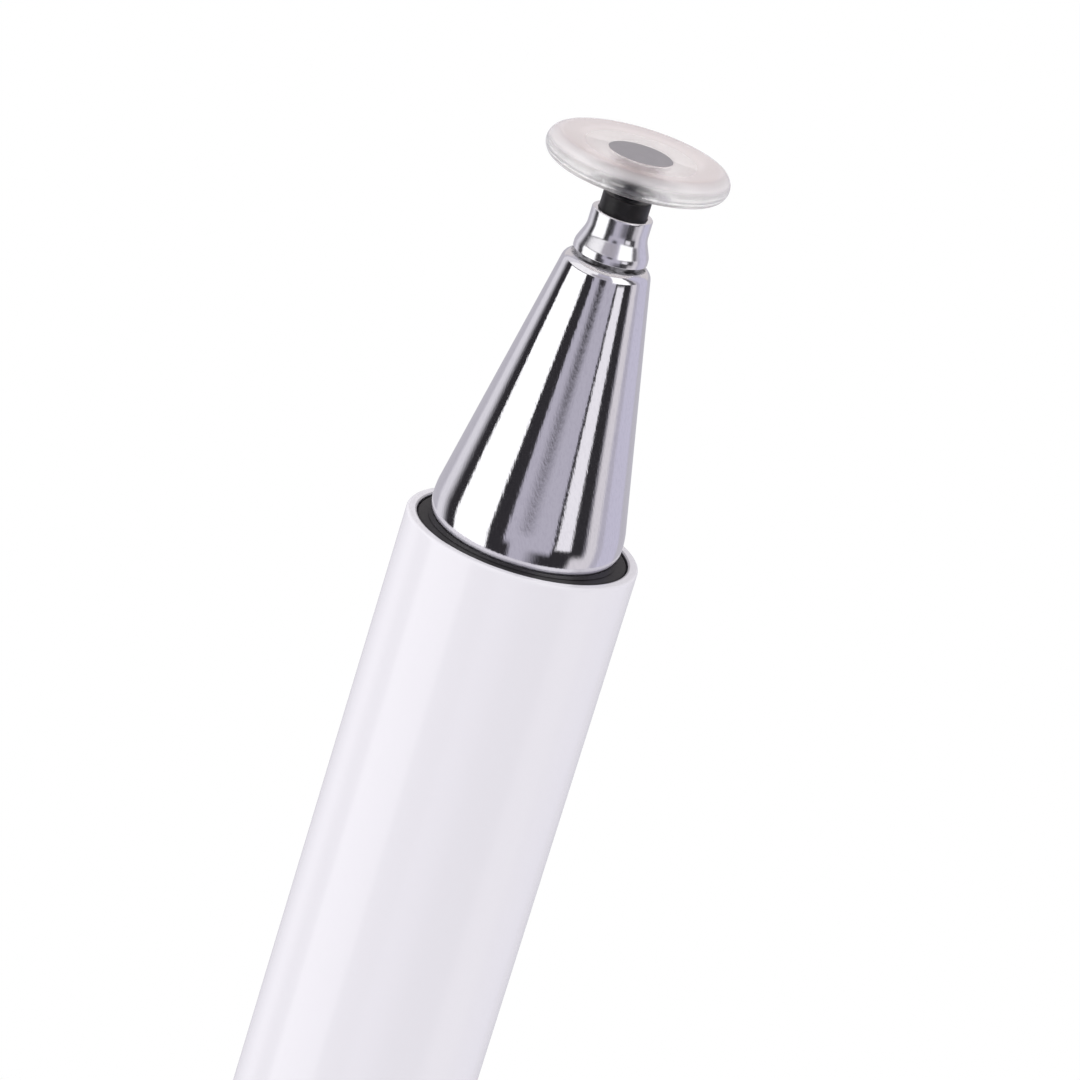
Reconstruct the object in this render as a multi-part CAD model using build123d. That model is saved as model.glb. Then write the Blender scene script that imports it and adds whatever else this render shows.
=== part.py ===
"""Disc-tip stylus pen, a stack of turned pieces along one axis.

The pen stands on its tail: +Z runs along the axis to the writing tip, and the
origin is the middle of the tail face. Sizes are in millimetres, angles in degrees.
"""
import os
from math import cos, radians, sin, tan

from build123d import *

# Barrel: a drawn aluminium tube, open at both ends
barrel_diameter = 9.0
barrel_wall = 0.4
barrel_length = 122.7
mouth_outer_chamfer = 0.1
mouth_inner_chamfer = 0.05

# Tail plug: a moulded stopper pressed into the lower end of the barrel
tail_flange_height = 1.6
tail_flange_inset = 0.05
tail_edge_chamfer = 0.5
tail_spigot_length = 7.0
tail_spigot_wall = 0.9
tail_lead_chamfer = 0.35

# Front bush: the tapped insert glued inside the barrel mouth
bush_length = 7.0
bush_wall = 1.55
bush_lead_chamfer = 0.35
glue_groove_width = 2.0
glue_groove_depth = 0.25

# Seal ring: the black rubber washer in the barrel mouth, with a land that the nose stands on
seal_height = 1.0
seal_recess = 0.05
seal_chamfer = 0.1
seal_land_height = 0.15
seal_land_inset = 0.05

# Nose cone: a tapered nose on a screwed shank, drawn in again below its girth
cone_height = 11.2
cone_girth_height = 0.78
cone_girth_inset = 0.39
cone_girth_round = 3.0
cone_foot_inset = 0.471
cone_top_wall = 0.43
cone_shoulder_round = 0.42
cone_drill_diameter = 1.8
shank_length = 6.65
shank_chamfer = 0.4
thread_runout = 0.3
thread_relief_depth = 0.5

# Tip nozzle: the flared ferrule on top of the cone
nozzle_lip_wall = 0.225
nozzle_lip_chamfer = 0.05
nozzle_neck_height = 0.8
nozzle_flare_height = 0.64
nozzle_skirt_height = 0.27
nozzle_skirt_chamfer = 0.03
nozzle_skirt_overhang = 0.15
nozzle_groove_height = 0.16
nozzle_seat_width = 0.07
nozzle_spigot_wall = 0.265
nozzle_floor = 0.4
nozzle_floor_room = 0.1

# Stem sleeve: the black conductive rubber lining of the nozzle
sleeve_diameter = 1.85
sleeve_length = 4.0
sleeve_stand_out = 0.65
sleeve_chamfer = 0.05

# Ball stud: a turned pin that spins in the sleeve and carries the disc on its ball
ball_diameter = 1.1
ball_neck_diameter = 0.44
stud_diameter = 0.8
stud_flange_diameter = 1.0
stud_flange_height = 0.1
stud_tail_length = 0.3
stud_tail_chamfer = 0.1

# Stud clip: the open ring that keeps the stud in the nozzle
clip_diameter = 1.6
clip_thickness = 0.2
clip_groove_depth = 0.08
clip_mouth_width = 0.45

# Ball socket: the plastic hub of the disc, and how far it tilts on the ball
socket_wall = 0.46
socket_lip_share = 0.45
tilt_limit = 35.0

# Contact plate: the metal button that closes the socket
plate_overlap = 0.205
plate_thickness = 0.17
plate_recess = 0.13
plate_chamfer = 0.03

# Touch disc: the clear plate that slides on the screen
disc_diameter = 7.0
disc_thickness = 1.0
disc_edge_bulge = 0.48
disc_land_width = 0.5
disc_dish_depth = 0.12

# Clearances on one side of each fit
press_gap = 0.01
running_gap = 0.03
thread_gap = 0.04
ball_gap = 0.02
ball_top_gap = 0.03
stud_end_room = 0.2
tilt_gap = 0.125

# Room that cuts take past a face, and how closely an edge is matched
overrun = 0.5
edge_match = 0.001

# Radii of the fits, from the barrel inwards
barrel_radius = barrel_diameter / 2
mouth_radius = barrel_radius - barrel_wall
bush_radius = mouth_radius - press_gap
seal_radius = mouth_radius - running_gap
cone_girth_radius = mouth_radius - cone_girth_inset
cone_foot_radius = mouth_radius - cone_foot_inset
bush_bore_radius = bush_radius - bush_wall
shank_radius = bush_bore_radius - thread_gap
relief_radius = shank_radius - thread_relief_depth

# Radii of the tip, from the stud outwards
stud_radius = stud_diameter / 2
stud_bore_radius = stud_radius + running_gap
clip_groove_radius = stud_radius - clip_groove_depth
clip_radius = clip_diameter / 2
sleeve_radius = sleeve_diameter / 2
nozzle_bore_radius = sleeve_radius + press_gap
clip_bore_radius = max(nozzle_bore_radius, clip_radius + running_gap)
nozzle_lip_radius = nozzle_bore_radius + nozzle_lip_wall
spigot_radius = clip_bore_radius + nozzle_spigot_wall
nozzle_groove_radius = max(spigot_radius, nozzle_lip_radius) + nozzle_seat_width
nozzle_skirt_radius = nozzle_groove_radius + nozzle_skirt_overhang
cone_socket_radius = spigot_radius + press_gap
cone_top_radius = cone_socket_radius + cone_top_wall

# Radii of the ball joint
ball_radius = ball_diameter / 2
ball_seat_radius = ball_radius + ball_gap
ball_neck_radius = ball_neck_diameter / 2
socket_lip_depth = socket_lip_share * ball_radius
socket_radius = ball_seat_radius + socket_wall
plate_radius = socket_radius + plate_overlap
disc_bore_radius = socket_radius + press_gap
disc_radius = disc_diameter / 2

# Heights along the axis, from the tail to the stem
barrel_bottom = tail_flange_height
barrel_top = barrel_bottom + barrel_length
seal_top = barrel_top - seal_recess
seal_bottom = seal_top - seal_height
bush_bottom = seal_bottom - bush_length
cone_base = seal_top + seal_land_height
cone_girth = cone_base + cone_girth_height
cone_top = cone_base + cone_height
shank_bottom = cone_base - shank_length
nozzle_skirt_bottom = cone_top + nozzle_groove_height
nozzle_flare_bottom = nozzle_skirt_bottom + nozzle_skirt_height
nozzle_neck_bottom = nozzle_flare_bottom + nozzle_flare_height
nozzle_top = nozzle_neck_bottom + nozzle_neck_height
sleeve_top = nozzle_top + sleeve_stand_out
sleeve_bottom = sleeve_top - sleeve_length
nozzle_floor_bottom = sleeve_bottom - nozzle_floor
clip_top = nozzle_floor_bottom - running_gap
clip_bottom = clip_top - clip_thickness
stud_bottom = clip_bottom - stud_tail_length
spigot_bottom = stud_bottom - stud_end_room
cone_socket_floor = spigot_bottom - nozzle_floor_room

# The ball stands high enough for the tilted disc and hub to clear the sleeve
tilt = radians(tilt_limit)
ball_above_underside = disc_thickness - plate_recess - plate_thickness - ball_top_gap - ball_radius
underside_reach = ball_above_underside / cos(tilt) + sleeve_radius * tan(tilt)
hub_reach = socket_radius * sin(tilt) + socket_lip_depth * cos(tilt)
ball_height = sleeve_top + max(underside_reach, hub_reach) + tilt_gap
socket_bottom = ball_height - socket_lip_depth
plate_bottom = ball_height + ball_radius + ball_top_gap
plate_top = plate_bottom + plate_thickness
disc_top = plate_top + plate_recess
disc_bottom = disc_top - disc_thickness


def spun(outline):
    """A solid of revolution about the pen's axis, from a closed outline of radius and height."""
    return revolve(Plane.XZ * make_face(outline), axis=Axis.Z)


def turned(*corners):
    """A solid of revolution with straight sides, from (radius, height) corners."""
    return spun(Polyline(*corners, close=True))


def rim(solid, radius, height):
    """The circular edges of a turned solid at one radius and height."""
    circles = solid.edges().filter_by(GeomType.CIRCLE)
    level = circles.filter_by(lambda edge: abs(edge.arc_center.Z - height) < edge_match)
    return level.filter_by(lambda edge: abs(edge.radius - radius) < edge_match)


def barrel():
    """The painted tube that the hand holds."""
    tube = turned(
        (mouth_radius, barrel_bottom),
        (barrel_radius, barrel_bottom),
        (barrel_radius, barrel_top),
        (mouth_radius, barrel_top),
    )
    tube = chamfer(rim(tube, barrel_radius, barrel_top), mouth_outer_chamfer)
    return chamfer(rim(tube, mouth_radius, barrel_top), mouth_inner_chamfer)


def tail_plug():
    """The hollow stopper: a flange a little inside the barrel's line, on a spigot in the tube."""
    flange_radius = barrel_radius - tail_flange_inset
    spigot_outer = bush_radius
    spigot_inner = spigot_outer - tail_spigot_wall
    spigot_top = tail_flange_height + tail_spigot_length
    plug = turned(
        (0, 0),
        (flange_radius, 0),
        (flange_radius, tail_flange_height),
        (spigot_outer, tail_flange_height),
        (spigot_outer, spigot_top),
        (spigot_inner, spigot_top),
        (spigot_inner, tail_flange_height),
        (0, tail_flange_height),
    )
    plug = chamfer(rim(plug, flange_radius, 0), tail_edge_chamfer)
    return chamfer(rim(plug, spigot_outer, spigot_top), tail_lead_chamfer)


def front_bush():
    """The tapped brass insert, with a glue groove round its outside."""
    bush = turned(
        (bush_bore_radius, bush_bottom),
        (bush_radius, bush_bottom),
        (bush_radius, seal_bottom),
        (bush_bore_radius, seal_bottom),
    )
    bush = chamfer(rim(bush, bush_bore_radius, seal_bottom), bush_lead_chamfer)
    groove_floor = bush_radius - glue_groove_depth
    groove_bottom = bush_bottom + (bush_length - glue_groove_width) / 2
    groove_top = groove_bottom + glue_groove_width
    groove = turned(
        (groove_floor, groove_bottom),
        (bush_radius + overrun, groove_bottom),
        (bush_radius + overrun, groove_top),
        (groove_floor, groove_top),
    )
    return bush - groove


def seal_ring():
    """The black washer, held in the thread relief, with a land under the cone's foot."""
    bore_radius = relief_radius + running_gap
    land_radius = cone_foot_radius - seal_land_inset
    ring = turned(
        (bore_radius, seal_bottom),
        (seal_radius, seal_bottom),
        (seal_radius, seal_top),
        (land_radius, seal_top),
        (land_radius, cone_base),
        (bore_radius, cone_base),
    )
    return chamfer(rim(ring, seal_radius, seal_top), seal_chamfer)


def nose_cone():
    """The tapered nose, bored for the nozzle, on the shank that screws into the bush."""
    drill_radius = cone_drill_diameter / 2
    relief_bottom = seal_bottom - thread_runout
    cone = turned(
        (drill_radius, shank_bottom),
        (shank_radius, shank_bottom),
        (shank_radius, relief_bottom),
        (relief_radius, relief_bottom),
        (relief_radius, cone_base),
        (cone_foot_radius, cone_base),
        (cone_girth_radius, cone_girth),
        (cone_top_radius, cone_top),
        (cone_socket_radius, cone_top),
        (cone_socket_radius, cone_socket_floor),
        (drill_radius, cone_socket_floor),
    )
    cone = fillet(rim(cone, cone_girth_radius, cone_girth), cone_girth_round)
    cone = fillet(rim(cone, cone_top_radius, cone_top), cone_shoulder_round)
    return chamfer(rim(cone, shank_radius, shank_bottom), shank_chamfer)


def tip_nozzle():
    """The ferrule: a flared skirt, a short neck with a rounded lip, and a spigot in the cone."""
    nozzle = turned(
        (clip_bore_radius, spigot_bottom),
        (spigot_radius, spigot_bottom),
        (spigot_radius, cone_top),
        (nozzle_groove_radius, cone_top),
        (nozzle_groove_radius, nozzle_skirt_bottom),
        (nozzle_skirt_radius, nozzle_skirt_bottom),
        (nozzle_skirt_radius, nozzle_flare_bottom),
        (nozzle_lip_radius, nozzle_neck_bottom),
        (nozzle_lip_radius, nozzle_top),
        (nozzle_bore_radius, nozzle_top),
        (nozzle_bore_radius, sleeve_bottom),
        (stud_bore_radius, sleeve_bottom),
        (stud_bore_radius, nozzle_floor_bottom),
        (clip_bore_radius, nozzle_floor_bottom),
    )
    nozzle = chamfer(rim(nozzle, nozzle_lip_radius, nozzle_top), nozzle_lip_chamfer)
    return chamfer(rim(nozzle, nozzle_skirt_radius, nozzle_skirt_bottom), nozzle_skirt_chamfer)


def stem_sleeve():
    """The rubber lining that shows as the black stem under the disc."""
    sleeve = turned(
        (stud_bore_radius, sleeve_bottom),
        (sleeve_radius, sleeve_bottom),
        (sleeve_radius, sleeve_top),
        (stud_bore_radius, sleeve_top),
    )
    return chamfer(rim(sleeve, sleeve_radius, sleeve_top), sleeve_chamfer)


def ball_stud():
    """The pin: a grooved tail for the clip, a flange on the sleeve, a neck and a ball."""
    flange_radius = stud_flange_diameter / 2
    flange_bottom = sleeve_top + ball_gap
    flange_top = flange_bottom + stud_flange_height
    groove_bottom = clip_bottom - running_gap
    pin = turned(
        (0, stud_bottom),
        (stud_radius, stud_bottom),
        (stud_radius, groove_bottom),
        (clip_groove_radius, groove_bottom),
        (clip_groove_radius, nozzle_floor_bottom),
        (stud_radius, nozzle_floor_bottom),
        (stud_radius, flange_bottom),
        (flange_radius, flange_bottom),
        (flange_radius, flange_top),
        (ball_neck_radius, flange_top),
        (ball_neck_radius, ball_height),
        (0, ball_height),
    )
    pin = chamfer(rim(pin, stud_radius, stud_bottom), stud_tail_chamfer)
    return pin + Pos(0, 0, ball_height) * Sphere(ball_radius)


def stud_clip():
    """The open ring in the stud's groove, under the nozzle's floor."""
    bore_radius = clip_groove_radius + press_gap
    ring = turned(
        (bore_radius, clip_bottom),
        (clip_radius, clip_bottom),
        (clip_radius, clip_top),
        (bore_radius, clip_top),
    )
    mouth_length = clip_radius + overrun
    mouth = Box(mouth_length, clip_mouth_width, clip_thickness + overrun)
    return ring - Pos(mouth_length / 2, 0, (clip_bottom + clip_top) / 2) * mouth


def ball_socket():
    """The hub: open above for the ball, with a seat that closes under it as a lip."""
    hub = turned(
        (0, socket_bottom),
        (socket_radius, socket_bottom),
        (socket_radius, plate_bottom),
        (0, plate_bottom),
    )
    way_in = turned(
        (0, ball_height),
        (ball_seat_radius, ball_height),
        (ball_seat_radius, plate_bottom + overrun),
        (0, plate_bottom + overrun),
    )
    return hub - way_in - Pos(0, 0, ball_height) * Sphere(ball_seat_radius)


def contact_plate():
    """The metal button, at the bottom of the dish in the disc's face."""
    plate = turned(
        (0, plate_bottom),
        (plate_radius, plate_bottom),
        (plate_radius, plate_top),
        (0, plate_top),
    )
    return chamfer(rim(plate, plate_radius, plate_top), plate_chamfer)


def touch_disc():
    """The clear disc with a round edge, dished inside its land, bored for the hub and the plate."""
    recess_radius = plate_radius + press_gap
    face_radius = disc_radius - disc_edge_bulge
    dish_radius = face_radius - disc_land_width
    disc_middle = (disc_bottom + disc_top) / 2
    faces = Polyline(
        (face_radius, disc_top),
        (dish_radius, disc_top),
        (recess_radius, disc_top - disc_dish_depth),
        (recess_radius, plate_bottom),
        (disc_bore_radius, plate_bottom),
        (disc_bore_radius, disc_bottom),
        (face_radius, disc_bottom),
    )
    edge = ThreePointArc((face_radius, disc_bottom), (disc_radius, disc_middle), (face_radius, disc_top))
    return spun(faces + edge)


PIECES = (
    barrel,
    tail_plug,
    front_bush,
    seal_ring,
    nose_cone,
    tip_nozzle,
    stem_sleeve,
    ball_stud,
    stud_clip,
    ball_socket,
    contact_plate,
    touch_disc,
)


def main():
    """Write each piece to its own STEP file."""
    os.makedirs("parts", exist_ok=True)
    for piece in PIECES:
        export_step(piece(), f"parts/{piece.__name__}.step")


if __name__ == "__main__":
    main()
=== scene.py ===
"""Dress a disc-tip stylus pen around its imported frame.

Lengths are in metres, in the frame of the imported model: +Z runs along the pen's axis
from the tail to the touch disc, and the camera stands on the -Y side.
"""
import logging
import math
from abc import ABC, abstractmethod
from dataclasses import dataclass, field
from enum import Enum
from typing import Any, ClassVar, Mapping

import bmesh
import bpy
from mathutils import Matrix, Vector


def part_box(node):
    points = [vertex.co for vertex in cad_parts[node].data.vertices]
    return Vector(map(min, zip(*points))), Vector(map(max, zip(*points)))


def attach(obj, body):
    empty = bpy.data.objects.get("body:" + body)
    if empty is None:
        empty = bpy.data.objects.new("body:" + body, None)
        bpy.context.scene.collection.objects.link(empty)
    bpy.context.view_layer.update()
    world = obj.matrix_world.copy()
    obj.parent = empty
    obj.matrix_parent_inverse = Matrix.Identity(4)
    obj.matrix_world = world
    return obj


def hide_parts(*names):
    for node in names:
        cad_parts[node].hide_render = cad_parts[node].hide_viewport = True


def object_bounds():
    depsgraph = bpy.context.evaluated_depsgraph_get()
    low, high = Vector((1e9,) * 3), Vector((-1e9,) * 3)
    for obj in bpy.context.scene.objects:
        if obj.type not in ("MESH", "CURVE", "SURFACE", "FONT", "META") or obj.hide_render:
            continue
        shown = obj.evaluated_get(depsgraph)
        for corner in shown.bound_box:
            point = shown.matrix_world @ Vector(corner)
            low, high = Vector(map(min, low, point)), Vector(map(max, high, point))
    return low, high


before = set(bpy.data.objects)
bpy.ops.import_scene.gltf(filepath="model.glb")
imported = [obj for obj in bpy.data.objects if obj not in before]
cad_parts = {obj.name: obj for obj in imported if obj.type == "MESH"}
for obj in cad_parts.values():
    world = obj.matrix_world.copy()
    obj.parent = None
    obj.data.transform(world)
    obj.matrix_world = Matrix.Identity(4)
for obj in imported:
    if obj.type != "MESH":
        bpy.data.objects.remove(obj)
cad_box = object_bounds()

log = logging.getLogger("stylus_pen")

MM = 0.001
FULL_TURN = 2 * math.pi
RADIAN = math.degrees(1.0)
ORIGIN = (0.0, 0.0, 0.0)
AXIS = (0.0, 0.0, 1.0)

# How finely the turned pieces are cut
TURN_STEPS = 160
ROUND_SEGMENTS = 6
ARC_SEGMENTS = 14
HOLD_SHARE = 1.6
MERGE_DISTANCE = 1e-8
CREASE_ANGLE = math.radians(35)

# Sizes that two groups share
THREAD_PITCH = 0.8 * MM
THREAD_DEPTH = 0.38 * MM
BALL_RADIUS = 0.55 * MM
FIT = 0.01 * MM

# How many octaves a noise has
SMOOTH = 1.0
PLAIN = 2.0
FINE = 3.0
FINEST = 4.0

# Places of a Mix node's colour sockets
MIX_SHARE = 0
MIX_FIRST = 6
MIX_SECOND = 7
MIX_RESULT = 2

Colour = tuple[float, float, float, float]
Point = tuple[float, float]
Mesh = bmesh.types.BMesh
Corner = tuple[float, ...]

WHITE: Colour = (1.0, 1.0, 1.0, 1.0)


class Body(Enum):
    """The bodies that the pieces ride on."""

    BARREL = "barrel"
    SEAL = "seal"
    NIB = "nib"
    STUD = "stud"
    DISC = "disc"


class Slot(Enum):
    """The record's material slots."""

    PAINT = "barrel_paint"
    TAIL = "tail_plastic"
    BRASS = "bush_brass"
    SEAL = "seal_rubber"
    CHROME = "tip_chrome"
    STEM = "stem_rubber"
    STEEL = "stud_steel"
    HUB = "hub_plastic"
    PLATE = "plate_metal"
    CLEAR = "clear_disc"


class Operation(Enum):
    """The Math node operations that the finishes and the studio use."""

    ADD = "ADD"
    SUBTRACT = "SUBTRACT"
    MULTIPLY = "MULTIPLY"
    SINE = "SINE"
    ARCTAN2 = "ARCTAN2"
    ARCSINE = "ARCSINE"
    MAXIMUM = "MAXIMUM"
    SQUARE_ROOT = "SQRT"


class Ray(Enum):
    """The kinds of ray that the studio answers differently."""

    CAMERA = "Is Camera Ray"
    GLOSSY = "Is Glossy Ray"
    TRANSMISSION = "Is Transmission Ray"


class Value:
    """A socket that Python's operators work on, each adding one Math node."""

    def __init__(self, shader: "Shader", socket: bpy.types.NodeSocket) -> None:
        """Wrap a socket of a shader's tree."""
        self.shader = shader
        self.socket = socket

    def __add__(self, other: "Number") -> "Value":
        """Return the sum."""
        return self.shader.math(Operation.ADD, self, other)

    def __radd__(self, other: "Number") -> "Value":
        """Return the sum with a number on the left."""
        return self.shader.math(Operation.ADD, other, self)

    def __sub__(self, other: "Number") -> "Value":
        """Return the difference."""
        return self.shader.math(Operation.SUBTRACT, self, other)

    def __rsub__(self, other: "Number") -> "Value":
        """Return the difference from a number on the left."""
        return self.shader.math(Operation.SUBTRACT, other, self)

    def __mul__(self, other: "Number") -> "Value":
        """Return the product."""
        return self.shader.math(Operation.MULTIPLY, self, other)

    def __rmul__(self, other: "Number") -> "Value":
        """Return the product with a number on the left."""
        return self.shader.math(Operation.MULTIPLY, other, self)


Number = Value | float


class Shader:
    """A node tree that is written as Python expressions."""

    def __init__(self, tree: bpy.types.NodeTree) -> None:
        """Start from the emptied tree of a material or of the world."""
        self.tree = tree
        tree.nodes.clear()

    def node(
        self,
        kind: str,
        settings: Mapping[str, Any] | None = None,
        inputs: Mapping[str | int, Any] | None = None,
    ) -> bpy.types.Node:
        """Add one node.

        Args:
            kind: The node's type.
            settings: Its own settings, set before its sockets.
            inputs: Numbers, colours or values for its sockets, by name or place.

        Returns:
            The new node.
        """
        made = self.tree.nodes.new(kind)
        for name, setting in (settings or {}).items():
            setattr(made, name, setting)
        for name, given in (inputs or {}).items():
            if isinstance(given, Value):
                self.tree.links.new(given.socket, made.inputs[name])
            else:
                made.inputs[name].default_value = given
        return made

    def out(
        self,
        kind: str,
        settings: Mapping[str, Any] | None = None,
        inputs: Mapping[str | int, Any] | None = None,
        output: str | int = 0,
    ) -> Value:
        """Add one node and return one of its outputs, given by name or place."""
        return Value(self, self.node(kind, settings, inputs).outputs[output])

    def math(self, operation: Operation, *terms: Number) -> Value:
        """Return a Math node's result for one or two terms."""
        return self.out("ShaderNodeMath", {"operation": operation.value}, dict(enumerate(terms)))

    def point(self) -> Value:
        """Return the piece's own coordinates, in metres."""
        return self.out("ShaderNodeTexCoord", output="Object")

    def parts(self, vector: Value) -> tuple[Value, Value, Value]:
        """Return the three parts of a vector."""
        sockets = self.node("ShaderNodeSeparateXYZ", None, {0: vector}).outputs
        return Value(self, sockets[0]), Value(self, sockets[1]), Value(self, sockets[2])

    def height(self) -> Value:
        """Return the height along the pen's axis."""
        return self.parts(self.point())[2]

    def radius(self) -> Value:
        """Return the distance from the pen's axis."""
        across, deep, _ = self.parts(self.point())
        return self.math(Operation.SQUARE_ROOT, across * across + deep * deep)

    def ramp(self, value: Value, low: float, high: float) -> Value:
        """Return a smooth step from 0 at low to 1 at high; low may be the larger one.

        Args:
            value: What is stepped.
            low: Where the step starts.
            high: Where the step ends.

        Returns:
            The step, from 0 to 1.
        """
        rising = low <= high
        ends = {
            "Value": value,
            "From Min": min(low, high),
            "From Max": max(low, high),
            "To Min": float(not rising),
            "To Max": float(rising),
        }
        return self.out("ShaderNodeMapRange", {"interpolation_type": "SMOOTHSTEP", "clamp": True}, ends)

    def noise(self, size: float, detail: float = PLAIN, stretch: float = 1.0, twist: float = 0.0) -> Value:
        """Return noise on the piece's own coordinates, from 0 to 1.

        Args:
            size: The size of its grains, in metres.
            detail: How many octaves it has.
            stretch: How many times longer the grains are along the pen.
            twist: How far they turn about the pen, in radians a metre.

        Returns:
            The noise.
        """
        place = self.point()
        if twist:
            _, _, height = self.parts(place)
            turned = {"Vector": place, "Angle": height * twist}
            place = self.out("ShaderNodeVectorRotate", {"rotation_type": "Z_AXIS"}, turned)
        scale = (1 / size, 1 / size, 1 / (size * stretch))
        scaled = self.out("ShaderNodeMapping", None, {"Vector": place, "Scale": scale})
        return self.out("ShaderNodeTexNoise", None, {"Vector": scaled, "Scale": 1.0, "Detail": detail})

    def mix(self, share: Number, first: Colour | Value, second: Colour | Value) -> Value:
        """Return a colour between two, from 0 for the first to 1 for the second."""
        inputs = {MIX_SHARE: share, MIX_FIRST: first, MIX_SECOND: second}
        return self.out("ShaderNodeMix", {"data_type": "RGBA"}, inputs, MIX_RESULT)

    def blend(self, share: Value, first: Value, second: Value) -> Value:
        """Return a shader between two, from 0 for the first to 1 for the second."""
        return self.out("ShaderNodeMixShader", None, {0: share, 1: first, 2: second})

    def bump(self, height: Value, depth: float) -> Value:
        """Return a normal bent by a height, of which 1 stands for the depth, in metres."""
        return self.out("ShaderNodeBump", None, {"Height": height, "Distance": depth, "Strength": 1.0})

    def rays(self) -> list[Value]:
        """Return 1 for each kind of ray that is being traced, in the order of Ray."""
        made = self.node("ShaderNodeLightPath")
        return [Value(self, made.outputs[kind.value]) for kind in Ray]

    def principled(self, **inputs: Any) -> Value:
        """Return a Principled shader, whose sockets are named with underscores for spaces."""
        named = {name.replace("_", " "): given for name, given in inputs.items()}
        return self.out("ShaderNodeBsdfPrincipled", None, named)

    def finish(self, shaded: Value) -> None:
        """Finish a material's tree with a shader."""
        self.node("ShaderNodeOutputMaterial", None, {"Surface": shaded})

    def surface(self, **inputs: Any) -> None:
        """Finish a material's tree with one Principled shader."""
        self.finish(self.principled(**inputs))


class Finish(ABC):
    """A surface finish, which makes one material.

    A field that ends in gloss is a roughness, or what a pattern adds to it. One that ends in
    size, stretch or depth says how wide a pattern's grains are, how many times longer they are
    than wide, and how far they stand out. An index is an index of refraction.
    """

    name: str

    @abstractmethod
    def write(self, shader: Shader) -> None:
        """Write the finish as nodes."""

    def material(self) -> bpy.types.Material:
        """Make a material with this finish.

        Returns:
            The new material.
        """
        made = bpy.data.materials.new(self.name)
        made.use_nodes = True
        self.write(Shader(made.node_tree))
        return made


@dataclass(frozen=True)
class GlossPaint(Finish):
    """White gloss paint on an aluminium tube that is bare inside.

    Attributes:
        colour: The paint.
        shade: The paint where it is a little thinner.
        metal: The bare aluminium.
        bare_radius: The radius inside which the tube is bare.
        bare_edge: How wide the paint's inner edge is.
        draw_size: The width of the drawing marks in the bore.
    """

    name: str = "white_gloss_paint"
    colour: Colour = (0.86, 0.845, 0.87, 1.0)
    shade: Colour = (0.84, 0.825, 0.855, 1.0)
    metal: Colour = (0.60, 0.60, 0.62, 1.0)
    bare_radius: float = 4.16 * MM
    bare_edge: float = 0.03 * MM
    cloud_size: float = 9.0 * MM
    cloud_stretch: float = 4.0
    peel_size: float = 0.55 * MM
    peel_depth: float = 0.0006 * MM
    gloss: float = 0.13
    peel_gloss: float = 0.05
    draw_size: float = 0.08 * MM
    draw_stretch: float = 30.0
    bare_gloss: float = 0.15
    draw_gloss: float = 0.2
    index: float = 1.5

    def write(self, shader: Shader) -> None:
        """Write the paint, its faint clouds and orange peel, and the bare bore.

        Args:
            shader: The material's shader.
        """
        bare = shader.ramp(shader.radius(), self.bare_radius + self.bare_edge, self.bare_radius)
        cloud = shader.noise(self.cloud_size, FINE, self.cloud_stretch)
        drawn = shader.noise(self.draw_size, PLAIN, self.draw_stretch)
        paint = shader.mix(cloud, self.shade, self.colour)
        gloss = self.gloss + self.peel_gloss * shader.noise(self.peel_size)
        shader.surface(
            Base_Color=shader.mix(bare, paint, self.metal),
            Metallic=bare,
            Roughness=gloss + bare * (self.bare_gloss + self.draw_gloss * drawn),
            Normal=shader.bump(shader.noise(self.peel_size, SMOOTH), self.peel_depth),
            IOR=self.index,
        )


@dataclass(frozen=True)
class MouldedPlastic(Finish):
    """White gloss moulding with a faint skin of its own.

    Attributes:
        colour: The plastic.
        shade: The plastic in its clouds.
    """

    name: str = "white_moulding"
    colour: Colour = (0.86, 0.85, 0.87, 1.0)
    shade: Colour = (0.83, 0.82, 0.845, 1.0)
    cloud_size: float = 3.0 * MM
    skin_size: float = 0.25 * MM
    skin_depth: float = 0.0008 * MM
    gloss: float = 0.2
    skin_gloss: float = 0.1
    index: float = 1.49

    def write(self, shader: Shader) -> None:
        """Write the moulding's colour, its sheen and its skin.

        Args:
            shader: The material's shader.
        """
        cloud = shader.noise(self.cloud_size, FINE)
        shader.surface(
            Base_Color=shader.mix(cloud, self.shade, self.colour),
            Roughness=self.gloss + self.skin_gloss * shader.noise(self.skin_size),
            Normal=shader.bump(shader.noise(self.skin_size), self.skin_depth),
            IOR=self.index,
        )


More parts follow.
